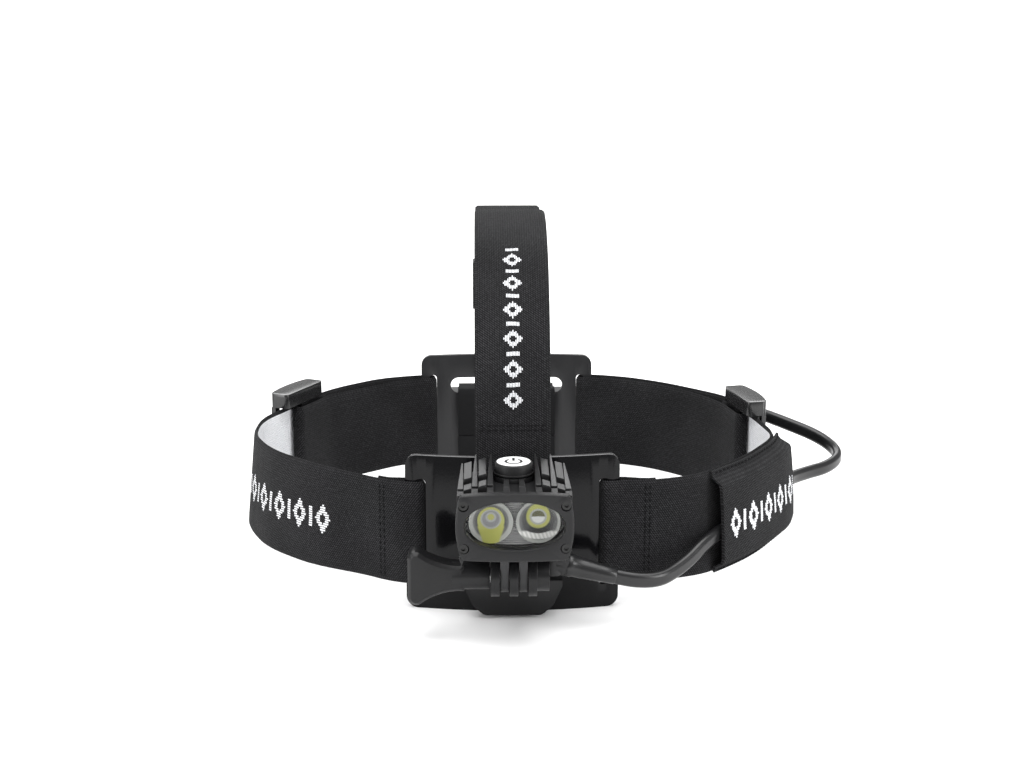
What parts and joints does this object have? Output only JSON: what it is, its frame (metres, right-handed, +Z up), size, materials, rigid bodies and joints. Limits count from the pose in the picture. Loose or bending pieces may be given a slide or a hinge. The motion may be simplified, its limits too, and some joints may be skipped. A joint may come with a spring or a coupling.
{
  "type": "headlamp",
  "caption": "Twin-optic headlamp on a three-way elastic headband, with a tilting finned lamp on a quick-release clevis mount and a battery pack at the back",
  "frame": {"origin": "centre of the head opening, on the plane that the lower edges of the front and rear plates stand on", "axes": "-Y faces forward, the way the lamp shines; +X is the wearer's left; +Z is up, toward the crown"},
  "size_m": [0.2241, 0.2159, 0.1268],
  "materials": {
    "front_plate": "moulded, glossy",
    "rear_plate": "moulded, satin",
    "mount_base": "moulded, satin",
    "buckle": "moulded, satin",
    "slider": "moulded, satin gloss",
    "webbing": "elastic woven webbing",
    "sleeve": "elastic woven webbing, sewn cover",
    "band": "elastic band",
    "aluminium": "black anodised, satin",
    "screw": "blackened steel",
    "steel": "stainless steel",
    "knob": "rubber over plastic",
    "gasket": "silicone rubber",
    "button": "silicone cap with printed top",
    "window": "clear polycarbonate",
    "optic": "clear acrylic lens",
    "holder": "grey moulded",
    "led": "phosphor on a white package",
    "board": "solder mask on a circuit board",
    "battery_shell": "moulded, satin",
    "cell": "foil pouch",
    "socket": "moulded",
    "cable": "twin lead with a rubbery sheath"
  },
  "bodies": {
    "headband": {"front_plate": "front_plate", "rear_plate": "rear_plate", "left_strap": "webbing", "right_strap": "webbing", "cable_sleeve": "sleeve", "top_strap": "webbing", "mount_base": "mount_base", "base_screws": "screw", "battery_band": "band", "battery_case": "battery_shell", "battery_cover": "battery_shell", "battery_cell_1": "cell", "battery_cell_2": "cell", "battery_board": "board", "battery_socket": "socket", "cable_plug": "socket", "plug_relief": "cable", "lamp_cable": "cable"},
    "left_adjuster": {"left_slider": "slider"},
    "right_adjuster": {"right_slider": "slider"},
    "top_adjuster": {"top_slider": "slider"},
    "buckle": {"quick_release_buckle": "buckle", "pivot_nut": "steel"},
    "knob": {"thumb_knob": "knob", "pivot_bolt": "steel"},
    "lamp": {"lamp_foot": "aluminium", "foot_screws": "screw", "lamp_housing": "aluminium", "front_bezel": "aluminium", "bezel_screws": "screw", "window_gasket": "gasket", "front_window": "window", "optic_holder": "holder", "spot_optic": "optic", "flood_optic": "optic", "led_board": "board", "leds": "led", "driver_board": "board", "tact_switch": "socket", "button_ring": "aluminium", "cable_gland": "gasket", "cable_boot": "cable"},
    "button": {"power_button": "button"}
  },
  "joints": [
    {"name": "left_adjuster_slide", "type": "slide", "parent": "headband", "child": "left_adjuster", "axis": [0.4472, 0.8944, 0], "range_m": [-0.0015, 0.006]},
    {"name": "right_adjuster_slide", "type": "slide", "parent": "headband", "child": "right_adjuster", "axis": [-0.2178, 0.976, 0], "range_m": [-0.0015, 0.004]},
    {"name": "top_adjuster_slide", "type": "slide", "parent": "headband", "child": "top_adjuster", "axis": [0, 0, 1], "range_m": [-0.004, 0.004]},
    {"name": "quick_release_slide", "type": "slide", "parent": "headband", "child": "buckle", "axis": [0, 0, 1], "range_m": [0, 0.03], "deforming": ["lamp_cable"]},
    {"name": "knob_turn", "type": "hinge", "parent": "buckle", "child": "knob", "pos_m": [0, -0.097, 0.021], "axis": [1, 0, 0], "continuous": true},
    {"name": "lamp_tilt", "type": "hinge", "parent": "buckle", "child": "lamp", "pos_m": [0, -0.097, 0.021], "axis": [1, 0, 0], "range_deg": [-5, 60], "deforming": ["cable_boot"]},
    {"name": "button_press", "type": "slide", "parent": "lamp", "child": "button", "axis": [0, 0, -1], "range_m": [0, 0.0008], "stiffness_N_per_m": 1500, "springref_m": -0.0003}
  ]
}
